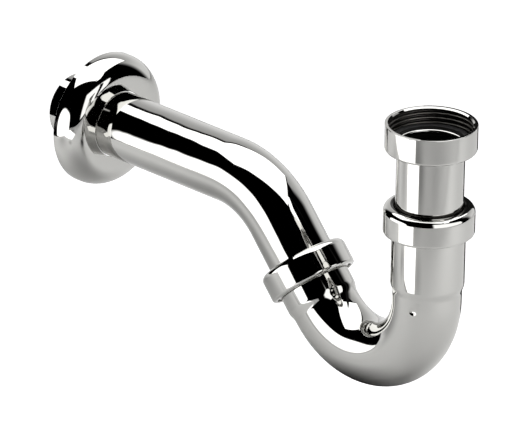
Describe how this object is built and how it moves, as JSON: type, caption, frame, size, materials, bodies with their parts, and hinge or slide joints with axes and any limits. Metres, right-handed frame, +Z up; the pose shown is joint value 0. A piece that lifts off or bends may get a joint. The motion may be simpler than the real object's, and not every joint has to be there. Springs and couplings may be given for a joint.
{
  "type": "bidet trap",
  "caption": "Chromed tubular P-trap for a bidet: union nut and sliding inlet tube, U-bend, swivelling wall tube and rosette, joined by compression nuts.",
  "frame": {"origin": "centre of the union nut's mouth, on the inlet axis", "axes": "+Z up along the inlet tube, -X towards the wall, the trap lies in the XZ plane"},
  "size_m": [0.2588, 0.065, 0.1417],
  "materials": {
    "chrome": "bright chrome plate on brass",
    "rubber": "matt black rubber",
    "slip_ring": "natural polyethylene"
  },
  "bodies": {
    "bend": {"trap_bend": "chrome", "inlet_seal": "rubber", "outlet_seal": "rubber"},
    "inlet": {"inlet_tube": "chrome", "union_washer": "rubber"},
    "union": {"union_nut": "chrome"},
    "inlet_ring": {"inlet_slip_ring": "slip_ring"},
    "inlet_nut": {"inlet_clamp_nut": "chrome"},
    "outlet_ring": {"outlet_slip_ring": "slip_ring"},
    "outlet_nut": {"outlet_clamp_nut": "chrome"},
    "arm": {"outlet_arm": "chrome"},
    "rosette": {"wall_rosette": "chrome"}
  },
  "joints": [
    {"name": "inlet_telescope", "type": "slide", "parent": "bend", "child": "inlet", "axis": [0, 0, 1], "range_m": [-0.002, 0.022]},
    {"name": "union_turn", "type": "hinge", "parent": "inlet", "child": "union", "pos_m": [0, 0, -0.0065], "axis": [0, 0, 1], "continuous": true},
    {"name": "inlet_ring_lift", "type": "slide", "parent": "bend", "child": "inlet_ring", "axis": [0, 0, 1], "range_m": [0, 0.00601]},
    {"name": "inlet_nut_turn", "type": "hinge", "parent": "inlet_ring", "child": "inlet_nut", "pos_m": [0, 0, -0.0475], "axis": [0, 0, 1], "range_deg": [0, 1080]},
    {"name": "outlet_ring_lift", "type": "slide", "parent": "bend", "child": "outlet_ring", "axis": [-0.6613, 0, 0.7501], "range_m": [0, 0.00601]},
    {"name": "outlet_nut_turn", "type": "hinge", "parent": "outlet_ring", "child": "outlet_nut", "pos_m": [-0.07745, 0, -0.09857], "axis": [-0.6613, 0, 0.7501], "range_deg": [0, 1080]},
    {"name": "arm_swivel", "type": "hinge", "parent": "bend", "child": "arm", "pos_m": [-0.07745, 0, -0.09857], "axis": [-0.6613, 0, 0.7501], "continuous": true},
    {"name": "rosette_slide", "type": "slide", "parent": "arm", "child": "rosette", "axis": [1, 0, 0], "range_m": [-0.018, 0.07]}
  ],
  "couplings": [
    {"joint": "inlet_ring_lift", "follows": "inlet_nut_turn", "m_per_rad": 0.00031831},
    {"joint": "outlet_ring_lift", "follows": "outlet_nut_turn", "m_per_rad": 0.00031831}
  ]
}
